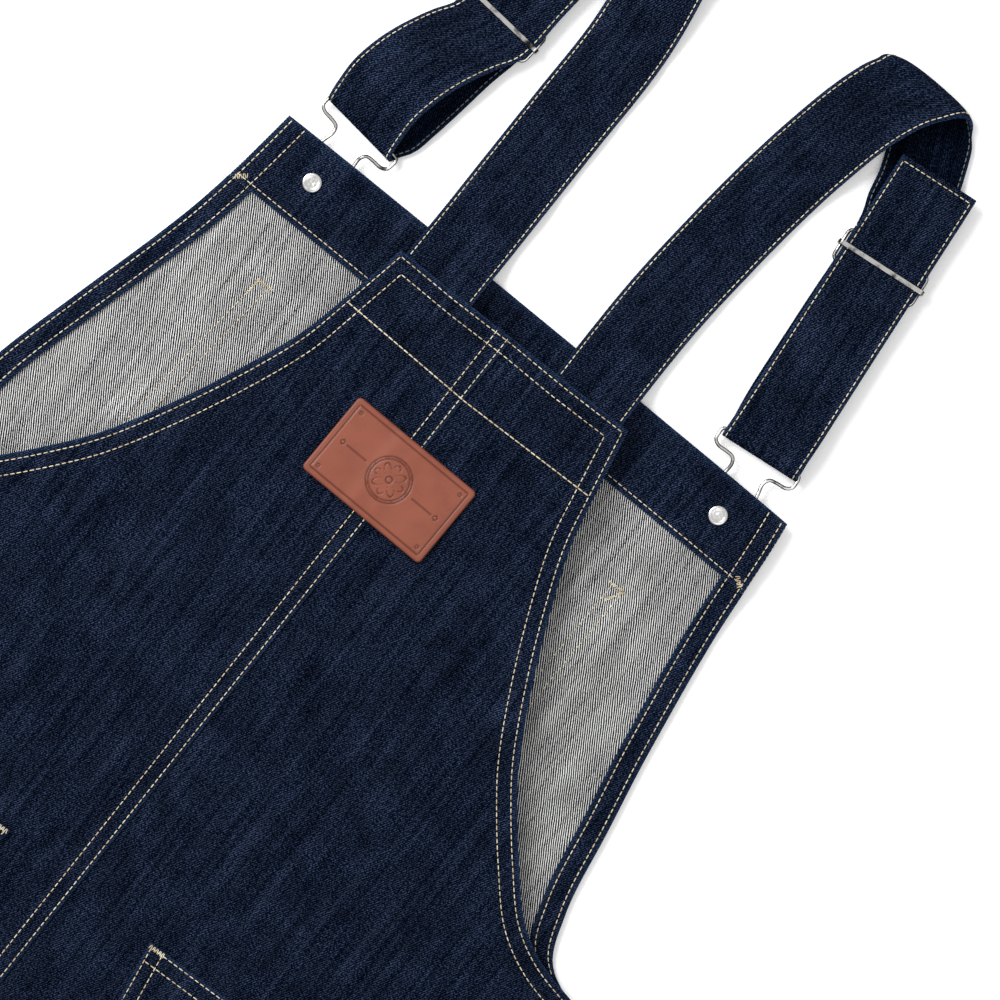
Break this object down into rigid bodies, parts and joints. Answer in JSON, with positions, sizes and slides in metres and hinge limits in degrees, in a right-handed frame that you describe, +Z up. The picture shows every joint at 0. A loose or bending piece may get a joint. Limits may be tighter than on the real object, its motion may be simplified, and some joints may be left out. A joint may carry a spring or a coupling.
{
  "type": "artist smock apron",
  "caption": "Denim smock apron with bib, full back, back pockets and adjustable hooked shoulder straps, lying flat with its back up.",
  "frame": {"origin": "on the table under the middle of the garment, at the underarm line", "axes": "+Y from the hem towards the shoulder straps, +X towards the wearer's right, +Z up, out of the garment's back"},
  "size_m": [0.6442, 1.1054, 0.0156],
  "materials": {
    "denim": "dark indigo twill, right side, matt",
    "denim_reverse": "light wrong side of the twill, matt",
    "patch_leather": "smooth brown leather, satin",
    "nickel": "bright nickel plate"
  },
  "bodies": {
    "garment": {"front_panel": "denim_reverse", "bib_facing": "denim", "bib_binding_left": "denim", "bib_binding_right": "denim", "chest_pocket": "denim", "front_hem_facing": "denim", "back_panel_left": "denim", "back_panel_right": "denim", "back_hem_facing": "denim", "yoke_facing": "denim", "armhole_binding_left": "denim", "armhole_binding_right": "denim", "side_seam_left": "denim", "side_seam_right": "denim", "back_pocket_left": "denim", "back_pocket_right": "denim", "leather_patch": "patch_leather", "strap_base_left": "denim", "strap_base_right": "denim"},
    "strap_left": {"strap_run_left": "denim", "strap_end_left": "denim"},
    "strap_right": {"strap_run_right": "denim", "strap_end_right": "denim"},
    "slider_left": {"slider_frame_left": "nickel", "slider_bar_left": "nickel"},
    "slider_right": {"slider_frame_right": "nickel", "slider_bar_right": "nickel"},
    "hook_left": {"hook_left": "nickel"},
    "hook_right": {"hook_right": "nickel"},
    "button_left": {"button_cap_left": "nickel", "button_tack_left": "nickel"},
    "button_right": {"button_cap_right": "nickel", "button_tack_right": "nickel"}
  },
  "joints": [
    {"name": "strap_left_lift", "type": "hinge", "parent": "garment", "child": "strap_left", "pos_m": [-0.1258, 0.27687, 0.0043], "axis": [1, 0, 0], "range_deg": [0, 120]},
    {"name": "hook_left_swing", "type": "hinge", "parent": "strap_left", "child": "hook_left", "pos_m": [-0.1258, 0.27687, 0.0043], "axis": [1, 0, 0], "range_deg": [-120, 0]},
    {"name": "slider_left_slide", "type": "slide", "parent": "strap_left", "child": "slider_left", "axis": [0.0896, 0.996, 0], "range_m": [0, 0.04]},
    {"name": "button_left_turn", "type": "hinge", "parent": "garment", "child": "button_left", "pos_m": [-0.1258, 0.23887, 0], "axis": [0, 0, 1], "continuous": true},
    {"name": "strap_right_lift", "type": "hinge", "parent": "garment", "child": "strap_right", "pos_m": [0.1312, 0.27313, 0.0043], "axis": [1, 0, 0], "range_deg": [0, 120]},
    {"name": "hook_right_swing", "type": "hinge", "parent": "strap_right", "child": "hook_right", "pos_m": [0.1312, 0.27313, 0.0043], "axis": [1, 0, 0], "range_deg": [-120, 0]},
    {"name": "slider_right_slide", "type": "slide", "parent": "strap_right", "child": "slider_right", "axis": [-0.1038, 0.9946, 0], "range_m": [-0.06, 0.004]},
    {"name": "button_right_turn", "type": "hinge", "parent": "garment", "child": "button_right", "pos_m": [0.1312, 0.23513, 0], "axis": [0, 0, 1], "continuous": true}
  ],
  "couplings": [
    {"joint": "hook_left_swing", "follows": "strap_left_lift", "ratio": -1},
    {"joint": "hook_right_swing", "follows": "strap_right_lift", "ratio": -1}
  ]
}
